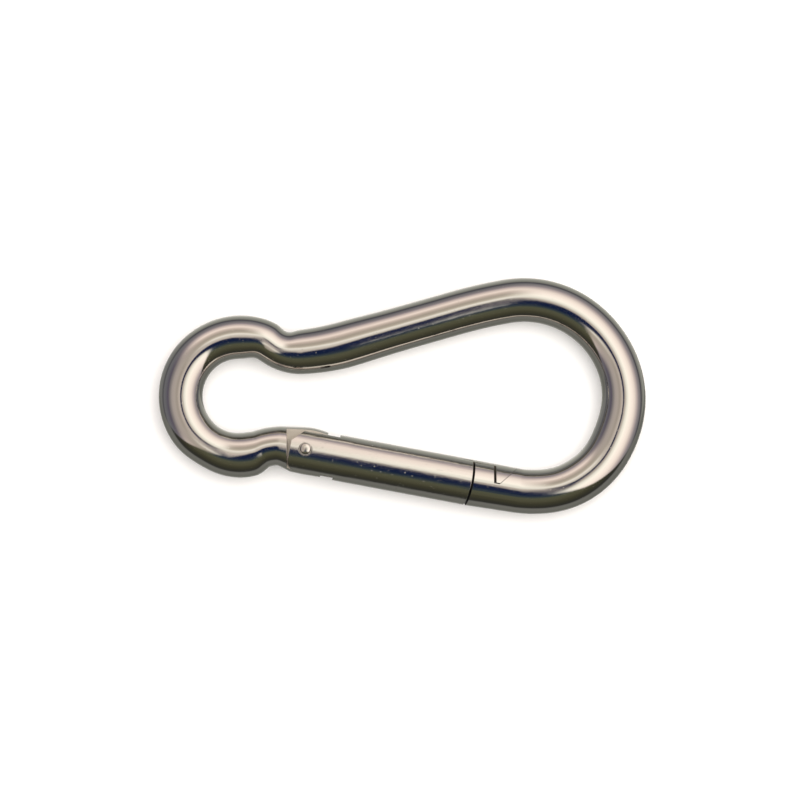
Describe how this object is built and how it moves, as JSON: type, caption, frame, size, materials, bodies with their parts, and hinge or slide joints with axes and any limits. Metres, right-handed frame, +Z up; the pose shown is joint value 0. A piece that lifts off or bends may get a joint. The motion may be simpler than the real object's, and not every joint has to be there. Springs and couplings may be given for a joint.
{
  "type": "pear-shaped carbine hook",
  "caption": "Pear-shaped carbine hook of polished round bar, with a sprung gate that opens inward and latches in a slot in the nose.",
  "frame": {"origin": "under the middle of the hook's outline, on the surface that it lies on", "axes": "+X from the small eye toward the wide bow, +Y from the gate side toward the plain leg, +Z up, square to the flat plane of the hook"},
  "size_m": [0.12, 0.0582, 0.0113],
  "materials": {
    "polished_bar": "mirror-polished stainless steel",
    "polished_gate": "mirror-polished stainless steel",
    "rivet_steel": "peened and polished stainless steel",
    "spring_wire": "drawn stainless spring wire",
    "turned_steel": "turned stainless steel"
  },
  "bodies": {
    "hook": {"hook_body": "polished_bar"},
    "gate_assembly": {"gate": "polished_gate", "hinge_rivet": "rivet_steel", "gate_spring": "spring_wire"},
    "plunger": {"spring_plunger": "turned_steel"}
  },
  "joints": [
    {"name": "gate_hinge", "type": "hinge", "parent": "hook", "child": "gate_assembly", "pos_m": [-0.02378, -0.01281, 0.00565], "axis": [0, 0, 1], "range_deg": [0, 38], "stiffness_Nm_per_rad": 0.045, "springref_deg": -114.59},
    {"name": "plunger_slide", "type": "slide", "parent": "gate_assembly", "child": "plunger", "axis": [0.9829, -0.184, 0], "range_m": [0, 0.0025], "deforming": ["gate_spring"]}
  ],
  "couplings": [
    {"joint": "plunger_slide", "follows": "gate_hinge", "m_per_rad": 0.00345}
  ]
}
